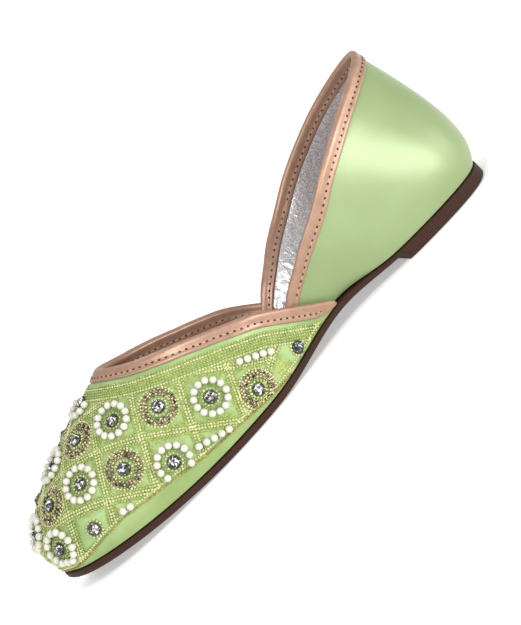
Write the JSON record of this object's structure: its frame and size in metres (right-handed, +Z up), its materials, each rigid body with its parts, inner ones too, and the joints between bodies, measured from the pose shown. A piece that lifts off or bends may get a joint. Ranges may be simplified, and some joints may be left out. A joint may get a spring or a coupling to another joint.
{
  "type": "mojari shoe",
  "caption": "Open-waisted mojari flat: closed vamp with a deep throat, separate heel quarter, bound top edges, padded insole and thin sole with a low heel.",
  "frame": {"origin": "on the floor, under the middle of the shoe's box", "axes": "+Z up, the toe points to -Y and the heel to +Y, the outer side of the left foot is +X"},
  "size_m": [0.079, 0.2528, 0.0751],
  "materials": {
    "moulded_sole": "matt moulded",
    "rolled_edge_leather": "metallic sheen",
    "sock_leather": "soft sheen",
    "vamp_satin": "embroidered satin",
    "quarter_satin": "plain satin",
    "binding_leather": "rose gold metallic"
  },
  "bodies": {
    "root": {"outsole": "moulded_sole", "insole": "rolled_edge_leather", "sock_panel": "sock_leather", "vamp": "vamp_satin", "quarter": "quarter_satin", "vamp_binding": "binding_leather", "quarter_binding": "binding_leather"}
  },
  "joints": []
}
